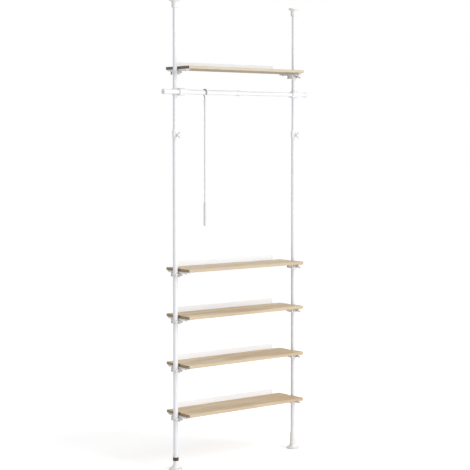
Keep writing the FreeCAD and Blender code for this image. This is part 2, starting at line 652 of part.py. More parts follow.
# ---------------------------------------------------------------- hook rod
def bent_wire(start, along, hub, angle):
    """A round wire from start, bent about an X axis through hub; returns the solid."""
    ring = Part.Face(Part.Wire([Part.Circle(start, along, HOOK_WIRE_R).toShape()]))
    return ring.revolve(hub, X_AXIS, angle)


def rod_hook():
    """A thick wire hook over the bar's axis, with the ferrule that holds the shaft under it."""
    bend = BAR_R + HOOK_CLEAR + HOOK_WIRE_R
    turn = math.radians(HOOK_TURN)
    back_bend = bend * math.cos(turn) / (1 - math.cos(turn))
    knee_z = -(bend + back_bend) * math.sin(turn)
    point_angle = math.pi + math.radians(HOOK_OPEN)
    point = V(0, bend * math.cos(point_angle), bend * math.sin(point_angle))
    knee = V(0, 0, knee_z)
    over_bar = bent_wire(point, V(0, point.z, -point.y), ORIGIN, -(180 + HOOK_OPEN + HOOK_TURN))
    under_bar = bent_wire(knee, Z_AXIS, V(0, back_bend, knee_z), -HOOK_TURN)
    low = FERRULE_TOP - FERRULE_L - BAR_Z
    high = FERRULE_TOP - BAR_Z
    wire_end = low + FERRULE_SOCKET
    shank = cylinder(HOOK_WIRE_R, knee_z - wire_end, V(0, 0, wire_end))
    lip = SHAFT_R + FERRULE_LIP
    ferrule = profile_solid([(0, low), (lip, low), (FERRULE_R, low + FERRULE_TAPER),
                             (FERRULE_R, high - FERRULE_TAPER), (lip, high), (0, high)])
    ferrule = ferrule.cut(cylinder(SHAFT_R + RUN, FERRULE_SOCKET, V(0, 0, low)))
    tip_r = HOOK_WIRE_R * HOOK_TIP
    tip = Part.makeSphere(tip_r, point * ((bend + tip_r - HOOK_WIRE_R) / bend))
    return over_bar.fuse(under_bar).fuse(shank).fuse(ferrule).fuse(tip).removeSplitter()


def rod_shaft():
    top = FERRULE_TOP - FERRULE_L + FERRULE_SOCKET
    bottom = GRIP_TOP - GRIP_SOCKET
    return cylinder(SHAFT_R, top - bottom, V(0, 0, bottom))


def rod_grip():
    body = profile_solid([(0, GRIP_BOTTOM), (GRIP_TIP_R, GRIP_BOTTOM),
                          (GRIP_R, GRIP_BOTTOM + GRIP_END), (GRIP_R, GRIP_TOP - GRIP_TAPER),
                          (GRIP_TIP_R, GRIP_TOP), (0, GRIP_TOP)])
    return body.cut(cylinder(SHAFT_R + RUN, GRIP_SOCKET, V(0, 0, GRIP_TOP - GRIP_SOCKET)))


def export_rod():
    x = LEFT_X + ROD_FROM_POLE
    export("rod_hook", moved(rod_hook(), x, BAR_Y, BAR_Z))
    export("rod_shaft", moved(rod_shaft(), x, BAR_Y))
    export("rod_grip", moved(rod_grip(), x, BAR_Y))


if __name__ == "__main__":
    os.makedirs("parts", exist_ok=True)
    for side in ("left", "right"):
        export("lower_tube_" + side, at_pole(lower_tube(), side))
        export("upper_tube_" + side, at_pole(upper_tube(), side))
        export("lock_knob_" + side, at_pole(lock_knob(), side))
        export("ceiling_pad_" + side, at_pole(ceiling_pad(), side))
        export("foot_" + side, at_pole(foot(), side))
        export("jack_ring_" + side, at_pole(jack_ring(), side))
    export("lock_collars", *[at_pole(lock_collar(), side) for side in ("left", "right")])
    export("foot_sleeves", *[at_pole(foot_sleeve(), side) for side in ("left", "right")])
    export("foot_cover_right", at_pole(foot_cover(), "right"))
    for index, height in enumerate(BOARD_HEIGHTS):
        on_upper = index >= LOWER_SHELVES
        export_shelf(index + 1, height, UPPER_R if on_upper else LOWER_R)
    export_bar()
    export_rod()
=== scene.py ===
"""Studio scene of a tension pole shelf unit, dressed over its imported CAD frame. Metres."""
import json
import math
import bmesh
import bpy
from mathutils import Matrix, Vector


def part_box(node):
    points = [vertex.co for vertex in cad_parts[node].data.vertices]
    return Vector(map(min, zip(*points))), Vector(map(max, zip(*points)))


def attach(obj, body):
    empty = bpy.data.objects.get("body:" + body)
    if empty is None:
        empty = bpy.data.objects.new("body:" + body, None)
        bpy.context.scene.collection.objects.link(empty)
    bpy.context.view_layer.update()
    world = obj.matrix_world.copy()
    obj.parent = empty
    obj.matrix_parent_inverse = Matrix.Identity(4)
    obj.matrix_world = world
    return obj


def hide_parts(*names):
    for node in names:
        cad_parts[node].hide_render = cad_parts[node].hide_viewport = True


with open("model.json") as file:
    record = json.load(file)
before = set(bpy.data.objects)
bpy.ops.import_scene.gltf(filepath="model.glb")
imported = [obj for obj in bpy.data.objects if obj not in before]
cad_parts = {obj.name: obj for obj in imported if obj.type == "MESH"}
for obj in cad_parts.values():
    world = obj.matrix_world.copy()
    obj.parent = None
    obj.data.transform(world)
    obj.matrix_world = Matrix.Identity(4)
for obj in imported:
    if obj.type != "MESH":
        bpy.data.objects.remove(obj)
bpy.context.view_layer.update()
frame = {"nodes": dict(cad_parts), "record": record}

NODES = frame["nodes"]
BODY_OF = {node: body for body, members in frame["record"]["behaviour"]["bodies"].items()
           for node in members}
SLOT_OF = {part["node"]: part["material_slot"] for part in frame["record"]["subparts"]}
MM = 0.001
X_AXIS = Vector((1, 0, 0))
SIDES = ("left", "right")


# ---------------------------------------------------------------- camera, light and floor
CAMERA_PLACE = Vector((-4.646, -5.756, 1.697))
VIEW_HEADING = math.radians(38.924)      # to the right of +Y
VIEW_DIP = math.radians(2.905)
FOCAL_LENGTH = 107.75                    # millimetres, on a 36 mm wide sensor
FRAME_SHIFT = -0.0530                    # aims the frame lower without tilting the camera
CREVICE_REACH = 0.024                    # how far from a corner the painted shade reaches


def make_camera():
    camera = bpy.data.objects.new("camera", bpy.data.cameras.new("camera"))
    camera.data.sensor_width = 36.0
    camera.data.lens = FOCAL_LENGTH
    camera.data.shift_y = FRAME_SHIFT
    camera.data.clip_end = 200.0
    camera.location = CAMERA_PLACE
    camera.rotation_euler = (math.pi / 2 - VIEW_DIP, 0.0, -VIEW_HEADING)
    bpy.context.scene.collection.objects.link(camera)
    bpy.context.scene.camera = camera


def make_lamp(name, place, target, size, power):
    """A square softbox that looks at target."""
    lamp = bpy.data.objects.new(name, bpy.data.lights.new(name, "AREA"))
    lamp.data.shape = "SQUARE"
    lamp.data.size = size
    lamp.data.energy = power
    lamp.visible_camera = False
    lamp.location = Vector(place)
    lamp.rotation_euler = (Vector(target) - Vector(place)).to_track_quat("-Z", "Y").to_euler()
    bpy.context.scene.collection.objects.link(lamp)


# ---------------------------------------------------------------- node materials
class Tree:
    """A short way to write a node tree."""

    def __init__(self, tree):
        self.tree = tree

    def add(self, kind, settings=None, **inputs):
        """A new node. Inputs are sockets to link or plain values, by socket name or index."""
        node = self.tree.nodes.new(kind)
        for key, value in (settings or {}).items():
            setattr(node, key, value)
        for key, value in inputs.items():
            socket = node.inputs[int(key[1:])] if key[1:].isdigit() else node.inputs[
                key.replace("_", " ")]
            if isinstance(value, bpy.types.NodeSocket):
                self.tree.links.new(value, socket)
            else:
                socket.default_value = value
        return node

    def math(self, operation, a, b=0.0):
        return self.add("ShaderNodeMath", {"operation": operation}, i0=a, i1=b).outputs[0]

    def share(self, mask, amount):
        """A mask made weaker, for use as a mixing factor."""
        return self.math("MULTIPLY", mask, amount)

    def ramp(self, value, low, high):
        """0 below low, 1 above high, smooth between."""
        return self.add("ShaderNodeMapRange", {"interpolation_type": "SMOOTHSTEP"},
                        Value=value, From_Min=low, From_Max=high).outputs[0]

    def between(self, value, low, high):
        """A 0 to 1 value spread from low to high."""
        return self.add("ShaderNodeMapRange", {}, Value=value, To_Min=low, To_Max=high).outputs[0]

    def mix(self, factor, a, b):
        """Colour a where factor is 0, colour b where it is 1."""
        node = self.add("ShaderNodeMix", {"data_type": "RGBA"})
        for index, value in ((0, factor), (6, a), (7, b)):
            if isinstance(value, bpy.types.NodeSocket):
                self.tree.links.new(value, node.inputs[index])
            else:
                node.inputs[index].default_value = value
        return node.outputs[2]

    def place(self, scale=(1, 1, 1)):
        """Object coordinates, stretched."""
        coordinates = self.add("ShaderNodeTexCoord").outputs["Object"]
        return self.add("ShaderNodeMapping", {}, Vector=coordinates, Scale=scale).outputs[0]

    def crevice(self, deep):
        """A mask for painted shade: 1 where less than deep of the space around a point is open, 0
        above 0.62.
        """
        open_sky = self.add("ShaderNodeAmbientOcclusion", {"samples": 8},
                            Distance=CREVICE_REACH).outputs["AO"]
        return self.ramp(open_sky, 0.62, deep)

    def noise(self, where, scale, detail=2.0, rough=0.5, distort=0.0):
        return self.add("ShaderNodeTexNoise", {}, Vector=where, Scale=scale, Detail=detail,
                        Roughness=rough, Distortion=distort).outputs["Fac"]

    def bump(self, height, strength, distance, under=None):
        extra = {"Normal": under} if under is not None else {}
        return self.add("ShaderNodeBump", {}, Height=height, Strength=strength,
                        Distance=distance, **extra).outputs[0]


def colour(red, green, blue):
    return (red, green, blue, 1.0)


def scaled(rgba, factor):
    return tuple(channel * factor for channel in rgba[:3]) + (1.0,)


def new_surface(name):
    """A material with only a Principled shader: returns it, its Tree and the shader."""
    material = bpy.data.materials.new(name)
    material.use_nodes = True
    tree = Tree(material.node_tree)
    return material, tree, material.node_tree.nodes["Principled BSDF"]


def wire(tree, shader, **sockets):
    for key, value in sockets.items():
        tree.tree.links.new(value, shader.inputs[key.replace("_", " ")])


def powder_coat(name, base, roughness, shine=0.45):
    """Sprayed and baked coat on steel: faint orange peel, soft mottling, rub marks."""
    material, tree, shader = new_surface(name)
    where = tree.place()
    cloud = tree.noise(where, 9.0, 3.0)
    along = tree.noise(tree.place((420.0, 420.0, 9.0)), 1.0, 3.0)
    rubbed = tree.math("MULTIPLY", tree.ramp(along, 0.60, 0.72), tree.ramp(cloud, 0.45, 0.65))
    tint = tree.mix(cloud, scaled(base, 0.975), base)
    tint = tree.mix(tree.share(rubbed, 0.35), tint, scaled(base, 0.90))
    peel = tree.noise(where, 900.0, 1.0)
    grit = tree.noise(where, 3600.0, 1.0)
    relief = tree.bump(peel, 0.22, 0.00012, tree.bump(grit, 0.10, 0.00004))
    gloss = tree.math("ADD", tree.between(cloud, roughness - 0.04, roughness + 0.04),
                      tree.share(rubbed, 0.10))
    wire(tree, shader, Base_Color=tint, Roughness=gloss, Normal=relief)
    shader.inputs["Specular IOR Level"].default_value = shine
    return material


def moulded_plastic(name, base, roughness, crevice_shade):
    """Injection moulded plastic: spark-eroded grain, faint flow marks, painted shade in the
    crevices.
    """
    material, tree, shader = new_surface(name)
    where = tree.place()
    flow = tree.noise(where, 34.0, 3.0, 0.55, 0.8)
    pointy = tree.add("ShaderNodeNewGeometry").outputs["Pointiness"]
    edge = tree.ramp(pointy, 0.53, 0.62)
    tint = tree.mix(flow, scaled(base, 0.965), base)
    tint = tree.mix(tree.share(edge, 0.30), tint, scaled(base, 1.04))
    # Painted shade: the colour turns dark where little of the space around a point is open.
    tint = tree.mix(tree.share(tree.crevice(0.08), 0.80), tint, crevice_shade)
    pits = tree.noise(where, 2600.0, 2.0)
    sink = tree.noise(where, 130.0, 1.0)
    relief = tree.bump(sink, 0.10, 0.0003, tree.bump(pits, 0.12, 0.00008))
    gloss = tree.between(flow, roughness - 0.05, roughness + 0.06)
    wire(tree, shader, Base_Color=tint, Roughness=gloss, Normal=relief)
    shader.inputs["Specular IOR Level"].default_value = 0.5
    return material


def zinc_steel(name, base):
    material, tree, shader = new_surface(name)
    where = tree.place()
    spangle = tree.noise(where, 260.0, 2.0)
    scratch = tree.noise(tree.place((300.0, 2600.0, 2600.0)), 1.0, 2.0)
    tint = tree.mix(spangle, scaled(base, 0.82), scaled(base, 1.05))
    gloss = tree.between(scratch, 0.26, 0.46)
    wire(tree, shader, Base_Color=tint, Roughness=gloss,
         Normal=tree.bump(scratch, 0.15, 0.00005))
    shader.inputs["Metallic"].default_value = 1.0
    return material


def light_oak(name):
    """Oak print with a matt coat: growth lines along X and pores; its ends, notches and underside
    are darkened as painted shade, and the top board's front edge is lightened as painted light.
    """
    material, tree, shader = new_surface(name)
    broad = tree.ramp(tree.noise(tree.place((1.1, 9.0, 31.0)), 1.0, 3.0, 0.5, 0.5), 0.36, 0.64)
    flame = tree.ramp(tree.noise(tree.place((1.9, 17.0, 23.0)), 1.0, 2.0, 0.45, 0.9), 0.44, 0.60)
    patch = tree.ramp(tree.noise(tree.place((3.1, 4.0, 17.0)), 1.0, 1.0), 0.54, 0.66)
    rings = tree.add("ShaderNodeTexWave", {"wave_type": "BANDS", "bands_direction": "Y",
                                           "wave_profile": "SAW"},
                     Vector=tree.place((0.30, 8.0, 8.0)), Scale=2.4, Distortion=7.0, Detail=3.0,
                     Detail_Scale=0.9, Detail_Roughness=0.55).outputs["Fac"]
    fibre = tree.noise(tree.place((4.0, 330.0, 330.0)), 1.0, 3.0)
    pores = tree.noise(tree.place((22.0, 1150.0, 1150.0)), 1.0, 1.0)
    pore = tree.ramp(pores, 0.60, 0.70)
    pale, blush, honey, brown = (colour(0.785, 0.685, 0.478), colour(0.770, 0.602, 0.405),
                                 colour(0.560, 0.415, 0.235), colour(0.450, 0.315, 0.170))
    tint = tree.mix(broad, pale, blush)
    for mask, amount, stain in ((flame, 0.90, honey), (patch, 0.35, colour(0.530, 0.330, 0.160)),
                                (rings, 0.42, brown), (fibre, 0.25, honey), (pore, 0.40, brown)):
        tint = tree.mix(tree.share(mask, amount), tint, stain)
    coordinates = tree.add("ShaderNodeTexCoord")
    facing = tree.add("ShaderNodeSeparateXYZ", {}, Vector=coordinates.outputs["Normal"]).outputs
    ends = tree.ramp(tree.math("ABSOLUTE", facing[0]), 0.55, 0.80)
    front = tree.ramp(tree.math("ABSOLUTE", facing[1]), 0.55, 0.80)
    under = tree.ramp(facing[2], -0.45, -0.75)
    place = tree.add("ShaderNodeSeparateXYZ", {}, Vector=coordinates.outputs["Object"]).outputs
    height = place[2]
    # The lowest board is browner towards its right end, the two highest are duller all over.
    heartwood = tree.math("MULTIPLY", tree.ramp(place[0], 0.06, 0.36),
                          tree.ramp(height, 0.40, 0.32))
    tint = tree.mix(tree.share(heartwood, 0.50), tint, colour(0.490, 0.285, 0.110))
    tint = tree.mix(tree.share(tree.ramp(height, 0.85, 0.98), 0.50), tint,
                    colour(0.480, 0.410, 0.290))
    # The top board, seen from below, gets near-black ends as painted shade and a lighter front edge
    # as painted light.
    top_board = tree.ramp(height, 1.90, 2.00)
    # Painted shade: the end faces take a dark brown in place of the grain.
    band = tree.noise(tree.place((500.0, 16.0, 500.0)), 1.0, 2.0)
    painted_end_shade = tree.mix(band, colour(0.25, 0.175, 0.105), colour(0.36, 0.265, 0.155))
    painted_end_shade = tree.mix(tree.share(top_board, 0.80), painted_end_shade, colour(0.075, 0.055, 0.038))
    # Painted shade: end faces close to other parts, as in the notches, turn almost black.
    painted_end_shade = tree.mix(tree.share(tree.crevice(0.15), 0.85), painted_end_shade,
                        colour(0.040, 0.030, 0.022))
    # Painted shade: the undersides take a dark brown, with the flame figure still in it.
    painted_underside_shade = tree.mix(flame, colour(0.33, 0.225, 0.120), colour(0.25, 0.165, 0.085))
    # Front faces take an edging colour; the top board's lighter one is painted light.
    edging_and_painted_light = tree.mix(top_board, colour(0.50, 0.40, 0.29), colour(0.56, 0.52, 0.43))
    tint = tree.mix(tree.share(front, 0.60), tint, edging_and_painted_light)
    tint = tree.mix(tree.share(ends, 0.92), tint, painted_end_shade)
    tint = tree.mix(tree.share(under, 0.92), tint, painted_underside_shade)
    gloss = tree.between(fibre, 0.42, 0.56)
    relief = tree.bump(fibre, 0.10, 0.00015, tree.bump(pore, -0.18, 0.00012))
    wire(tree, shader, Base_Color=tint, Roughness=gloss, Normal=relief)
    shader.inputs["Specular IOR Level"].default_value = 0.4
    return material


def show_white(tree):
    """1 for the rays that see a surface directly, in a mirror or through glass."""
    path = tree.add("ShaderNodeLightPath")
    seen = tree.math("MAXIMUM", path.outputs["Is Camera Ray"], path.outputs["Is Glossy Ray"])
    return tree.math("MAXIMUM", seen, path.outputs["Is Transmission Ray"])


FLOOR_GLOW_NEAR = 0.38                   # where the key light and the shadow fall
FLOOR_GLOW_FAR = 0.42
HORIZON_LIGHT = 0.57
OVERHEAD_LIGHT = 0.76


def make_floor():
    """A wide pale floor that shows white where it is lit and keeps the shadow."""
    mesh = bpy.data.meshes.new("floor")
    reach = 30.0
    mesh.from_pydata([(-reach, -reach, 0), (reach, -reach, 0), (reach, reach, 0),
                      (-reach, reach, 0)], [], [(0, 1, 2, 3)])
    floor = bpy.data.objects.new("floor", mesh)
    bpy.context.scene.collection.objects.link(floor)
    material, tree, shader = new_surface("studio_floor")
    where = tree.place()
    speck = tree.noise(where, 40.0, 2.0)
    away = tree.add("ShaderNodeVectorMath", {"operation": "LENGTH"}, i0=where).outputs["Value"]
    spread = tree.ramp(away, 1.0, 4.5)
    glow = tree.between(spread, FLOOR_GLOW_NEAR, FLOOR_GLOW_FAR)
    wire(tree, shader, Base_Color=tree.mix(speck, colour(0.79, 0.79, 0.79),
                                           colour(0.83, 0.83, 0.83)))
    wire(tree, shader, Emission_Strength=tree.share(show_white(tree), glow))
    shader.inputs["Emission Color"].default_value = colour(1, 1, 1)
    shader.inputs["Roughness"].default_value = 0.8
    shader.inputs["Specular IOR Level"].default_value = 0.1
    mesh.materials.append(material)


def make_world():
    """A white room whose ceiling gives more light than its walls."""
    world = bpy.data.worlds.new("studio")
    bpy.context.scene.world = world
    world.use_nodes = True
    tree = Tree(world.node_tree)
    background = world.node_tree.nodes["Background"]
    background.inputs["Color"].default_value = colour(1, 1, 1)
    way = tree.add("ShaderNodeTexCoord").outputs["Generated"]
    rise = tree.add("ShaderNodeSeparateXYZ", {}, Vector=way).outputs[2]
    light = tree.between(rise, HORIZON_LIGHT, OVERHEAD_LIGHT)
    strength = tree.math("MAXIMUM", light, show_white(tree))
    world.node_tree.links.new(strength, background.inputs["Strength"])


make_camera()
make_lamp("key", (2.6, -7.6, 7.0), (0, 0, 1.0), size=5.0, power=370.0)
make_lamp("fill", (0.4, -4.6, 0.7), (0, 0, 0.8), size=2.0, power=84.0)
make_world()
make_floor()
bpy.context.scene.view_settings.view_transform = "Standard"

# Dark colour painted into the plastics' crevices as shade.
CREVICE_SHADE = colour(0.120, 0.100, 0.078)
MATERIALS = {
    "tube_white": powder_coat("tube_white", colour(0.80, 0.815, 0.85), 0.40, 0.22),
    "strip_white": powder_coat("strip_white", colour(0.915, 0.945, 1.00), 0.40, 0.90),
    "plastic_ivory": moulded_plastic("plastic_ivory", colour(0.805, 0.800, 0.785), 0.45, CREVICE_SHADE),
    "collar_white": moulded_plastic("collar_white", colour(0.915, 0.915, 0.91), 0.45, CREVICE_SHADE),
    # The shelf knobs' plastic is written darker than the other plastic, as painted shade; its
    # second colour is its crevice shade.
    "knob_painted_shade": moulded_plastic("knob_painted_shade", colour(0.56, 0.525, 0.475), 0.45,
                                  colour(0.100, 0.083, 0.066)),
    "ring_brown": moulded_plastic("ring_brown", colour(0.060, 0.036, 0.024), 0.36,
                                  colour(0.020, 0.014, 0.010)),
    "board_oak": light_oak("board_oak"),
    "fastener_steel": zinc_steel("fastener_steel", colour(0.10, 0.10, 0.105)),
    "rod_grey": powder_coat("rod_grey", colour(0.64, 0.64, 0.65), 0.38, 0.25),
    "hook_grey": powder_coat("hook_grey", colour(0.36, 0.36, 0.35), 0.38),
}


# ---------------------------------------------------------------- mesh makers
class Shape:
    """Vertices and faces in millimetres, gathered from simple makers."""

    def __init__(self):
        self.verts = []
        self.faces = []

    def add(self, verts, faces, place=None):
        start = len(self.verts)
        self.verts += [place @ Vector(v) if place else Vector(v) for v in verts]
        self.faces += [tuple(start + index for index in face) for face in faces]

    def loft(self, rings, place=None, closed=False):
        """Join rings of equally many points; an open end is capped by a fan to its middle."""
        count = len(rings[0])
        verts = [point for ring in rings for point in ring]
        faces = []
        pairs = list(zip(range(len(rings)), range(1, len(rings))))
        if closed:
            pairs.append((len(rings) - 1, 0))
        for a, b in pairs:
            for i in range(count):
                j = (i + 1) % count
                faces.append((a * count + i, a * count + j, b * count + j, b * count + i))
        if not closed:
            for ring in (0, len(rings) - 1):
                centre = sum((Vector(point) for point in rings[ring]), Vector()) / count
                verts.append(centre)
                faces += [(ring * count + i, ring * count + (i + 1) % count, len(verts) - 1)
                          for i in range(count)]
        self.add(verts, faces, place)

    def turn(self, outline, place=None, segments=64, closed=False, reshape=None):
        """Turn an outline of (radius, height) about Z. reshape(r, h, angle) changes the radius."""
        rings = []
        for radius, height in outline:
            ring = []
            for index in range(segments):
                angle = 2 * math.pi * index / segments
                r = reshape(radius, height, angle) if reshape else radius
                ring.append((r * math.cos(angle), r * math.sin(angle), height))
            rings.append(ring)
        self.loft(rings, place, closed)

    def slab(self, outline, low, high, edge):
        """A plate with rounded rims from an outline that runs anticlockwise in XY."""
        rings = rim(edge, low, high)
        normals = []
        for index, point in enumerate(outline):
            before = Vector(point) - Vector(outline[index - 1])
            after = Vector(outline[(index + 1) % len(outline)]) - Vector(point)
            sides = [Vector((-way.y, way.x)).normalized() for way in (before, after)]
            mean = (sides[0] + sides[1]).normalized()
            normals.append(mean / max(mean.dot(sides[0]), 0.5))
        count = len(outline)
        verts = [(x + n.x * inset, y + n.y * inset, z) for inset, z in rings
                 for (x, y), n in zip(outline, normals)]
        faces = [tuple(reversed(range(count))),
                 tuple(range((len(rings) - 1) * count, len(rings) * count))]
        for a in range(len(rings) - 1):
            for i in range(count):
                j = (i + 1) % count
                faces.append((a * count + i, a * count + j, (a + 1) * count + j,
                              (a + 1) * count + i))
        self.add(verts, faces)

    def piece(self, name, node, slot=None, finish=None):
        mesh = bpy.data.meshes.new(name)
        mesh.from_pydata([vert * MM for vert in self.verts], [], self.faces)
        work = bmesh.new()
        work.from_mesh(mesh)
        bmesh.ops.recalc_face_normals(work, faces=work.faces)
        work.to_mesh(mesh)
        work.free()
        shade_evenly(dress(name, mesh, node, slot, finish))


def rim(edge, low, high):
    """The two rounded rims of a plate, as (inset, height) pairs from low to high."""
    steps = 3
    rings = []
    for step in range(steps + 1):
        angle = math.pi / 2 * step / steps
        rings.append((edge * (1 - math.sin(angle)), low + edge * (1 - math.cos(angle))))
    return rings + [(inset, low + high - z) for inset, z in reversed(rings)]


def shade_evenly(obj):
    obj.modifiers.new("even_shading", "WEIGHTED_NORMAL").weight = 60


def dress(name, mesh, node, slot=None, finish=None):
    """Put a mesh in a CAD node's place, with the finish of that node's slot or of another."""
    slot = slot or SLOT_OF[node]
    mesh.shade_smooth()
    mesh.materials.append(MATERIALS[finish or slot])
    obj = bpy.data.objects.new(name, mesh)
    bpy.context.scene.collection.objects.link(obj)
    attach(obj, BODY_OF[node])
    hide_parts(node)
    return obj


def rounded(points, steps=4):
    """An outline of (x, y, radius) points with its corners rounded; its ends stay sharp."""
    corners = [(Vector(point[:2]), point[2] if len(point) > 2 else 0.0) for point in points]
    outline = []
    for index, (corner, radius) in enumerate(corners):
        if radius == 0.0:
            outline.append(tuple(corner))
            continue
        back = corners[index - 1][0] - corner
        ahead = corners[(index + 1) % len(corners)][0] - corner
        half = back.angle(ahead) / 2
        reach = min(radius / math.tan(half), 0.49 * back.length, 0.49 * ahead.length)
        radius = reach * math.tan(half)
        centre = corner + (back.normalized() + ahead.normalized()).normalized() * (
            radius / math.sin(half))
        start = corner + back.normalized() * reach - centre
        sweep = start.angle_signed(corner + ahead.normalized() * reach - centre)
        for step in range(steps + 1):
            arm = start.copy()
            arm.rotate(Matrix.Rotation(-sweep * step / steps, 2))
            outline.append(tuple(centre + arm))
    return outline


def box_mm(node):
    low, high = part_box(node)
    return low / MM, high / MM


def at(x, y, z, axis="Z"):
    """The frame that puts a maker's Z along an axis of the model."""
    turns = {"Z": Matrix.Identity(4), "-Z": Matrix.Rotation(math.pi, 4, "X"),
             "X": Matrix.Rotation(math.pi / 2, 4, "Y"), "-X": Matrix.Rotation(-math.pi / 2, 4, "Y"),
             "Y": Matrix.Rotation(-math.pi / 2, 4, "X"), "-Y": Matrix.Rotation(math.pi / 2, 4, "X")}
    return Matrix.Translation((x, y, z)) @ turns[axis]


SAME_POINT = 1e-6                        # metres; points nearer than this are one
FLAT = math.radians(0.6)                 # faces that meet at less are one face
SHARP = math.radians(32)                 # faces that meet at more have a broken edge


def softened(node, width, finish=None):
    """The node's own solid with its sharp edges broken."""
    work = bmesh.new()
    source = NODES[node].data
    verts = [work.verts.new(vert.co) for vert in source.vertices]
    for polygon in source.polygons:
        try:
            work.faces.new([verts[index] for index in polygon.vertices])
        except ValueError:               # a repeated or degenerate face
            continue
    bmesh.ops.remove_doubles(work, verts=work.verts, dist=SAME_POINT)
    bmesh.ops.dissolve_limit(work, angle_limit=FLAT, verts=work.verts,
                             edges=work.edges, use_dissolve_boundaries=False)
    mesh = bpy.data.meshes.new(node + "_soft")
    work.to_mesh(mesh)
    work.free()
    obj = dress(node + "_shape", mesh, node, finish=finish)
    bevel = obj.modifiers.new("broken_edges", "BEVEL")
    bevel.width = width * MM
    bevel.segments = 2
    bevel.limit_method = "ANGLE"
    bevel.angle_limit = SHARP
    shade_evenly(obj)


# ---------------------------------------------------------------- pieces
def middle(node):
    low, high = box_mm(node)
    return (low + high) / 2


POLE_X = {side: middle("lower_tube_" + side).x for side in SIDES}
INBOARD = {"left": 1, "right": -1}
BAR = middle("bar_outer_tube")

# Sizes in millimetres, the same as in the CAD unless the line says otherwise.
LOWER_R, LOWER_BORE, LOWER_WALL = 12.5, 12.55, 1.2    # wider tube, bore of what runs on it
UPPER_R, UPPER_BORE, UPPER_WALL = 11.0, 11.05, 1.0    # narrower tube, the same
STEM_R, STEM_BORE = 7.0, 7.05            # jack stem, bore of what runs on it
SHANK_R = 2.9                            # a hand screw's shank, drawn thinner than the CAD's 3.0
TIP_GAP = 0.3                            # between a hand screw's tip and the tube it locks
COLLAR_FACE = 20.5                       # face of a lock collar's boss, from the pole axis
CLAMP_WALL = 5.0
SEAT = 0.2                               # gap between the lapped faces of a clamp's lugs
LUG_GAP, LUG_T = 0.5, 4.5                # ring to inner lug, thickness of each lug
ARM_T = 9.0                              # a bracket's arm, under the board
ARM_SCREW_IN, ARM_SCREW_Y = 22.0, 62.0   # from the pole axis
PIN_IN, PIN_BACK = 6.0, 38.0             # a clamp's hinge pin, from the pole axis
STRIP_START, STRIP_LENGTH = 64.0, 672.0  # a back strip; its start is from the left pole's axis
BOARD_T = 15.0
NOTCH_GAP = 2.5                          # how much wider than the clamp a notch is, a side
KNOB_DROP = 18.5                         # axis of a shelf's hand screw, below its board
KNOB_TURN = 68.0                         # how far it has been turned from upright, degrees
AXIS = 0.01                              # stands for 0 where an outline meets its axis


def pole_radius(number):
    """Of the tube that a board is clamped to; only the top board is on the upper tubes."""
    return LOWER_R if number < 5 else UPPER_R


def make_tube(node, wall, axis):
    """A pipe with slightly rounded ends."""
    low, high = box_mm(node)
    centre = (low + high) / 2
    if axis == "Z":
        place, length = at(centre.x, centre.y, low.z), high.z - low.z
    else:
        place, length = at(low.x, centre.y, centre.z, "X"), high.x - low.x
    outer = (high.y - low.y) / 2
    inner, lip = outer - wall, 0.3
    shape = Shape()
    shape.turn(rounded([(outer, 0.0, lip), (outer, length, lip), (inner, length, lip),
                        (inner, 0.0, lip)], 2), place, 72, closed=True)
    shape.piece(node + "_shape", node)


def make_ceiling_pad(side):
    low, high = box_mm("ceiling_pad_" + side)
    reach = high.x - POLE_X[side]
    neck, flange, cap, dish = 17.0, 8.0, 6.0, 0.8
    top = high.z - low.z
    outline = rounded([
        (UPPER_BORE, 0.0, 0.5), (neck, 0.0, 1.0), (neck, top - flange, 9.0),
        (reach, top - flange, 2.2), (reach, top - 2.4, 0.25), (reach - 0.5, top - 2.2, 0.1),
        (reach - 0.5, top - 1.9, 0.1), (reach, top - 1.7, 0.2), (reach, top, 0.9),
        (reach - 3.0, top), (reach - 4.0, top - dish), (1.0, top - dish), (AXIS, top - dish),
        (AXIS, top - cap), (UPPER_BORE, top - cap, 0.3)], 5)
    shape = Shape()
    shape.turn(outline, at(POLE_X[side], 0, low.z), 96, closed=True)
    shape.piece("ceiling_pad_%s_shape" % side, "ceiling_pad_" + side)


def make_foot(side):
    """Flange with a rubber sole line, hollow cone and neck; the jack's thread above it."""
    node = "foot_" + side
    high = box_mm(node)[1]
    reach = high.x - POLE_X[side]
    flange, cone, cone_r, neck_r, neck_top = 9.0, 28.0, 24.0, 13.5, 46.0
    outline = rounded([
        (AXIS, 1.0), (26.0, 1.0, 0.5), (27.0, 0.0, 0.5), (reach, 0.0, 1.2), (reach, 2.6, 0.3),
        (reach - 0.6, 2.8, 0.1), (reach - 0.6, 3.2, 0.1), (reach, 3.4, 0.3), (reach, flange, 3.0),
        (cone_r, flange, 6.0), (neck_r, cone, 6.0), (neck_r, neck_top, 1.0), (STEM_R, neck_top)], 5)
    outline.append((AXIS, neck_top))
    shape = Shape()
    shape.turn(outline, at(POLE_X[side], 0, 0), 96)
    shape.piece(node + "_shape", node)
    pitch, depth, threaded = 4.0, 0.9, 22.0
    steps, segments = 8, 32
    rings = []
    for step in range(int(threaded / pitch * steps) + 1):
        height = neck_top - 0.5 + step * pitch / steps
        ring = []
        for index in range(segments):
            phase = (height / pitch - index / segments) % 1.0
            crest = min(1.0, max(0.0, 2.4 * abs(2 * phase - 1) - 0.5))
            r = STEM_R - depth * (1 - crest)
            angle = 2 * math.pi * index / segments
            ring.append((r * math.cos(angle), r * math.sin(angle), height))
        rings.append(ring)
    for radius, height in ((STEM_R, rings[-1][0][2] + 1.0), (STEM_R, high.z - 1.0),
                           (STEM_R - 1.0, high.z)):
        rings.append([(radius * math.cos(2 * math.pi * index / segments),
                       radius * math.sin(2 * math.pi * index / segments), height)
                      for index in range(segments)])
    stem = Shape()
    stem.loft(rings, at(POLE_X[side], 0, 0))
    stem.piece(node + "_stem", node, "fastener_steel")


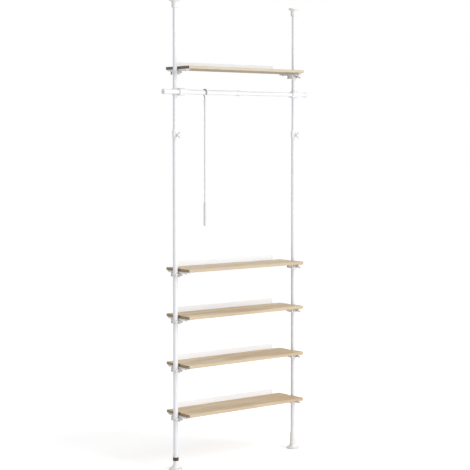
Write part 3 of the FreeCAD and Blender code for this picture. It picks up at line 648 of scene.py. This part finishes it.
def make_jack_ring(side):
    node = "jack_ring_" + side
    low, high = box_mm(node)
    grips, grip_r, radius = 12, 1.6, 15.0
    height = high.z - low.z

    def fluted(r, h, angle):
        if r < radius - 3.0:
            return r
        spacing = 2 * math.pi / grips
        off = abs((angle + spacing / 2) % spacing - spacing / 2) * radius
        if off >= grip_r:
            return r
        return r - math.sqrt(grip_r ** 2 - off ** 2) * 0.9

    outline = rounded([(STEM_BORE, 0.0, 0.3), (radius, 0.0, 1.2), (radius, height, 1.2),
                       (STEM_BORE, height, 0.3)], 3)
    shape = Shape()
    shape.turn(outline, at(POLE_X[side], 0, low.z), 216, closed=True, reshape=fluted)
    shape.piece(node + "_shape", node)


def make_foot_sleeves():
    low, high = box_mm("foot_sleeves")
    grip, wall = 8.0, 1.8
    floor = high.z - low.z - grip
    outer = LOWER_BORE + wall
    outline = rounded([(STEM_BORE, 0.0, 0.3), (outer, 0.0, 0.8), (outer, floor + grip, 0.7),
                       (LOWER_BORE, floor + grip, 0.3), (LOWER_BORE, floor, 0.2),
                       (STEM_BORE, floor, 0.2)], 3)
    shape = Shape()
    for side in SIDES:
        shape.turn(outline, at(POLE_X[side], 0, low.z), 72, closed=True)
    shape.piece("foot_sleeves_shape", "foot_sleeves")


def make_foot_cover():
    """Thin moulded cover over the right jack, with a bead round its lower rim."""
    low, high = box_mm("foot_cover_right")
    inner, wall, bore = 15.6, 1.8, 12.8
    outer = inner + wall
    upper_inner, top_r = 14.6, 14.2
    height = high.z - low.z
    ring_top, sleeve = 39.0, 51.3
    outline = rounded([
        (inner, 0.0, 0.3), (outer, 0.0, 0.7), (outer, 3.0, 0.3), (outer - 0.4, 3.3, 0.3),
        (outer - 0.4, ring_top - 8.0, 4.0), (outer - 1.4, sleeve, 3.0), (top_r, height, 0.5),
        (bore, height, 0.3), (bore, sleeve, 0.3), (upper_inner, sleeve, 0.2),
        (upper_inner, ring_top + 0.3, 0.2), (inner, ring_top + 0.3, 0.3)], 4)
    shape = Shape()
    shape.turn(outline, at(POLE_X["right"], 0, low.z), 96, closed=True)
    shape.piece("foot_cover_right_shape", "foot_cover_right")


def capsule(point, end, near_r, far_r):
    """Signed distance from a point to a bar from the origin to end, thicker at one end."""
    along = max(0.0, min(1.0, point.dot(end) / end.length_squared))
    return (point - end * along).length - (near_r + (far_r - near_r) * along)


def wing_outline(reach, spread, blade, inset, count=56):
    """The two-winged outline of a hand screw, seen from its thin side, as (y, z) points."""
    root = Vector((-blade / 2, 0.0))
    ends = [Vector((-(reach - blade / 2), side * spread)) - root for side in (1, -1)]

    def depth(point):
        a, b = (capsule(point, end, blade / 2, blade / 2 * 1.05) for end in ends)
        soft = 2.5
        blend = max(0.0, soft - abs(a - b)) / soft
        return min(a, b) - blend * blend * soft / 4 + inset

    outline = []
    for index in range(count):
        angle = 2 * math.pi * index / count
        way = Vector((math.cos(angle), math.sin(angle)))
        near, far = 0.0, 40.0
        while far - near > 0.01:
            half = (near + far) / 2
            near, far = (half, far) if depth(way * half) < 0 else (near, half)
        outline.append(root + way * near)
    return outline


def make_knob(node, face, turn, reach, spread, blade, depth, hub, screw, finish=None):
    """A moulded butterfly head on a steel screw. face is the middle of the face it bears on."""
    place = Matrix.Translation(face) @ Matrix.Rotation(math.radians(turn), 4, "Y")
    head = Shape()
    head.loft([[(x, y, z) for y, z in wing_outline(reach, spread, blade, inset)]
               for inset, x in rim(1.4, -depth / 2, depth / 2)], place)
    hub_r = blade
    head.turn(rounded([(AXIS, 0.0), (hub_r - 0.6, 0.0, 0.3), (hub_r - 0.6, 0.8, 0.2),
                       (hub_r, 0.9, 0.3), (hub_r, 2.6, 0.4), (hub_r - 0.5, 3.2, 0.4),
                       (hub_r - 0.5, hub, 1.6), (AXIS, hub)], 3),
              place @ at(0, 0, 0, "-Y"), 48)
    head.piece(node + "_shape", node, finish=finish)
    shank = Shape()
    shank.turn(rounded([(AXIS, -1.0), (SHANK_R, -1.0), (SHANK_R, screw, 0.5), (AXIS, screw)], 2),
               place @ at(0, 0, 0, "Y"), 24)
    shank.piece(node + "_screw", node, "fastener_steel")


def cross_recess(arm, width):
    """Gives the rings within arm of the axis the outline of a cross."""
    def reshape(radius, height, angle):
        if radius > arm:
            return radius
        share = radius / arm
        fold = abs((angle + math.pi / 4) % (math.pi / 2) - math.pi / 4)
        along = arm / math.cos(fold) if math.tan(fold) * arm < width / 2 else (
            width / 2 / max(math.sin(fold), 1e-6))
        return min(along, arm) * share
    return reshape


def screw_head(shape, place):
    """A pan head with a cross recess, its top along +Z of place."""
    radius, height, recess = 4.0, 2.4, 1.3
    arm = radius * 0.62
    outline = rounded([(AXIS, 0.0), (radius, 0.0, 0.2), (radius, height * 0.55, radius * 0.35),
                       (radius * 0.70, height, radius * 0.4), (arm + 0.01, height)], 3)
    outline += [(arm, height), (arm * 0.92, height - recess), (AXIS, height - recess)]
    shape.turn(outline, place, 64, reshape=cross_recess(arm, radius * 0.36))


def make_fasteners(number):
    """Hinge pins with domed heads, four pan-head screws and three countersunk strip screws."""
    node = "shelf_%d_fasteners" % number
    under = box_mm("shelf_%d_board" % number)[0].z
    back = box_mm("shelf_%d_back_strip" % number)[1].y
    arm_face = under - ARM_T
    pin = arm_face - box_mm("shelf_%d_brackets" % number)[0].z
    shape = Shape()
    for side in SIDES:
        inboard = INBOARD[side]
        shape.turn(rounded([(AXIS, 0.0), (3.5, 0.0, 0.4), (3.5, pin - 1.0, 0.4),
                            (4.3, pin - 0.8, 0.2), (4.3, pin, 0.6), (AXIS, pin + 0.6)], 3),
                   at(POLE_X[side] + PIN_IN * inboard, PIN_BACK, arm_face, "-Z"), 32)
        for y in (ARM_SCREW_Y, -ARM_SCREW_Y):
            screw_head(shape, at(POLE_X[side] + ARM_SCREW_IN * inboard, y, arm_face, "-Z"))
    for index in range(3):
        x = POLE_X["left"] + STRIP_START + STRIP_LENGTH / 6 + index * STRIP_LENGTH / 3
        shape.turn([(AXIS, -2.0), (1.5, -1.2), (2.95, -0.02), (1.8, -0.02), (1.6, -0.7),
                    (AXIS, -0.7)], at(x, back, under + BOARD_T / 2, "Y"), 48,
                   reshape=cross_recess(1.8, 1.0))
    shape.piece(node + "_shape", node)


def board_outline(low, high, half, depth):
    """A board's outline, anticlockwise, with a round-cornered notch in each end."""
    corner, mouth, inner = 3.0, 1.5, 2.5
    points = [(low.x, low.y, corner), (high.x, low.y, corner), (high.x, -half, mouth),
              (high.x - depth, -half, inner), (high.x - depth, half, inner),
              (high.x, half, mouth), (high.x, high.y, corner), (low.x, high.y, corner),
              (low.x, half, mouth), (low.x + depth, half, inner), (low.x + depth, -half, inner),
              (low.x, -half, mouth)]
    return rounded(points, 4)


def make_board(number):
    node = "shelf_%d_board" % number
    low, high = box_mm(node)
    half = pole_radius(number) + CLAMP_WALL + NOTCH_GAP
    depth = half + NOTCH_GAP - (low.x - POLE_X["left"])
    shape = Shape()
    shape.slab(board_outline(low, high, half, depth), low.z, high.z, 1.2)
    shape.piece(node + "_shape", node)


def make_hook():
    """A wire bent over the bar and back to the rod's axis, with a ball tip and a ferrule."""
    node = "rod_hook"
    x = middle(node).x
    wire, clear = 3.0, 0.3
    bend = LOWER_R + clear + wire
    turn = math.radians(50)
    back = bend * math.cos(turn) / (1 - math.cos(turn))
    knee = -(bend + back) * math.sin(turn)
    tip_r = wire * 1.3
    path = []
    start, end = math.pi + math.radians(30), -turn
    steps, knee_steps, tip_steps = 44, 14, 8
    for step in range(steps + 1):
        angle = start + (end - start) * step / steps
        path.append((Vector((0, bend * math.cos(angle), bend * math.sin(angle))),
                     Vector((0, math.sin(angle), -math.cos(angle)))))
    for step in range(1, knee_steps + 1):
        angle = math.pi - turn + turn * step / knee_steps
        path.append((Vector((0, back + back * math.cos(angle), knee + back * math.sin(angle))),
                     Vector((0, -math.sin(angle), math.cos(angle)))))
    ferrule_top, ferrule_low = -33.0, -65.0
    path.append((Vector((0, 0, ferrule_top - 8)), Vector((0, 0, -1))))
    rings = []
    segments = 28

    def ring(centre, way, radius):
        side = way.cross(X_AXIS).normalized()
        rings.append([centre + X_AXIS * radius * math.cos(2 * math.pi * k / segments)
                      + side * radius * math.sin(2 * math.pi * k / segments)
                      for k in range(segments)])

    first, way = path[0]
    bulge = math.sqrt(tip_r ** 2 - wire ** 2)
    for step in range(tip_steps + 1):
        angle = math.pi * (1 - step / tip_steps * 0.76)
        offset = tip_r * math.cos(angle)
        if offset < bulge:
            ring(first + way * (offset - bulge), way, max(tip_r * math.sin(angle), 0.05))
    for centre, way in path:
        ring(centre, way, wire)
    place = Matrix.Translation((x, BAR.y, BAR.z))
    wire_shape = Shape()
    wire_shape.loft(rings, place)
    wire_shape.piece(node + "_wire", node, finish="hook_grey")
    shape = Shape()
    shape.turn(rounded([(AXIS, ferrule_low + 4), (3.65, ferrule_low + 4), (3.65, ferrule_low, 0.2),
                        (4.2, ferrule_low, 0.3), (5.0, ferrule_low + 4, 2.0), (5.0, -55.0, 0.3),
                        (4.6, -54.6, 0.3), (4.6, -53.4, 0.3), (5.0, -53.0, 0.3),
                        (5.0, ferrule_top - 4, 2.0), (4.0, ferrule_top, 0.8),
                        (AXIS, ferrule_top)], 3), place, 40)
    shape.piece(node + "_shape", node)


def make_rod():
    for node, outline in (
            ("rod_shaft", lambda top: [(AXIS, 0.0), (3.6, 0.0, 0.4), (3.6, top, 0.4), (AXIS, top)]),
            ("rod_grip", lambda top: [
                (AXIS, 0.6), (2.6, 0.6, 0.4), (3.0, 0.0, 0.4), (5.6, 0.0, 1.4), (7.0, 4.0, 2.5),
                (6.6, top * 0.5, 60.0), (7.0, top - 16.0, 6.0), (5.0, top, 1.2), (3.7, top, 0.3),
                (3.7, top - 3.0), (AXIS, top - 3.0)])):
        low, high = box_mm(node)
        shape = Shape()
        centre = (low + high) / 2
        shape.turn(rounded(outline(high.z - low.z), 5), at(centre.x, centre.y, low.z), 40)
        shape.piece(node + "_shape", node)


def make_bar_ends():
    """The bar's two end caps and the collar at its joint."""
    dome = 0.4                           # how far a cap's end bulges
    left = Shape()
    left.turn(rounded([(AXIS, -dome), (7.0, -0.1, 6.0), (14.0, 0.0, 2.4), (14.0, 13.0, 0.5),
                       (11.2, 13.0, 0.2), (11.2, 31.0, 0.8), (AXIS, 31.0)], 5),
              at(box_mm("bar_cap_left")[0].x + dome, BAR.y, BAR.z, "X"), 72)
    left.piece("bar_cap_left_shape", "bar_cap_left")
    right = Shape()
    right.turn(rounded([
        (AXIS, -dome), (6.5, -0.1, 6.0), (13.0, 0.0, 2.2), (13.0, 5.4, 0.3), (12.0, 5.7, 0.3),
        (12.0, 7.3, 0.3), (13.0, 7.6, 0.3), (13.0, 12.1, 0.3), (12.0, 12.4, 0.3),
        (12.0, 14.0, 0.3), (13.0, 14.3, 0.3), (13.0, 20.0, 0.5), (9.9, 20.0, 0.2),
        (9.9, 38.0, 0.8), (AXIS, 38.0)], 4),
               at(box_mm("bar_cap_right")[1].x - dome, BAR.y, BAR.z, "-X"), 72)
    right.piece("bar_cap_right_shape", "bar_cap_right")
    low, high = box_mm("bar_joint_collar")
    length = high.x - low.x
    outer = (high.z - low.z) / 2
    joint = Shape()
    joint.turn(rounded([
        (LOWER_BORE, 0.0, 0.3), (outer, 0.0, 0.9), (outer, 2.6, 0.3), (outer - 0.5, 3.0, 0.3),
        (outer - 0.5, length - 5.0, 0.3), (outer, length - 4.6, 0.3), (outer, length - 1.5, 1.0),
        (outer - 1.5, length, 0.5), (UPPER_BORE, length, 0.3), (UPPER_BORE, length / 2, 0.2),
        (LOWER_BORE, length / 2, 0.2)], 3), at(low.x, BAR.y, BAR.z, "X"), 72, closed=True)
    joint.piece("bar_joint_collar_shape", "bar_joint_collar")


def make_bar_screws():
    """Headless set screws; their hexagon sockets open just inside the clamps' lower faces."""
    node = "bar_clamp_screws"
    low, high = box_mm(node)
    screw_r, socket, deep, sunk = 4.0, 2.0, 2.6, 6.0

    def hexagon(radius, height, angle):
        if radius > socket:
            return radius
        return radius / math.cos(angle % (math.pi / 3) - math.pi / 6)

    shape = Shape()
    length = high.z - (BAR.z - UPPER_R - sunk)
    for x, bar_r in ((low.x + screw_r, LOWER_R), (high.x - screw_r, UPPER_R)):
        face = BAR.z - bar_r - sunk
        shape.turn(rounded([(AXIS, deep), (socket, deep), (socket, 0.2), (socket + 0.4, 0.0),
                            (screw_r, 0.0, 0.6), (screw_r, length, 0.6), (AXIS, length)], 3),
                   at(x, BAR.y, face), 48, reshape=hexagon)
    shape.piece(node + "_shape", node)


for side in SIDES:
    make_tube("lower_tube_" + side, LOWER_WALL, "Z")
    make_tube("upper_tube_" + side, UPPER_WALL, "Z")
    make_ceiling_pad(side)
    make_foot(side)
    make_jack_ring(side)
    knob = "lock_knob_" + side
    make_knob(knob, (POLE_X[side], -COLLAR_FACE, middle(knob).z), turn=0.0, reach=24.0,
              spread=14.0, blade=6.0, depth=10.0, hub=11.0, screw=9.2)
make_tube("bar_outer_tube", LOWER_WALL, "X")
make_tube("bar_inner_tube", UPPER_WALL, "X")
make_foot_sleeves()
make_foot_cover()
make_bar_ends()
make_bar_screws()
make_hook()
make_rod()
softened("lock_collars", 0.5, finish="collar_white")
softened("bar_clamps", 0.8)
for number in range(1, 6):
    make_board(number)
    make_fasteners(number)
    prefix = "shelf_%d_" % number
    softened(prefix + "back_strip", 0.25)
    softened(prefix + "brackets", 0.6)
    softened(prefix + "jaws", 0.6)
    pole_r = pole_radius(number)
    front = -(pole_r + CLAMP_WALL + LUG_GAP + LUG_T + SEAT + LUG_T)
    under = box_mm(prefix + "board")[0].z
    for side in SIDES:
        make_knob(prefix + "knob_" + side, (POLE_X[side], front, under - KNOB_DROP),
                  turn=KNOB_TURN * INBOARD[side], reach=20.0, spread=10.0, blade=5.5, depth=9.0,
                  hub=9.0, screw=-front - pole_r - TIP_GAP, finish="knob_painted_shade")

for node, obj in NODES.items():
    obj.data.materials.clear()
    obj.data.materials.append(MATERIALS[SLOT_OF[node]])
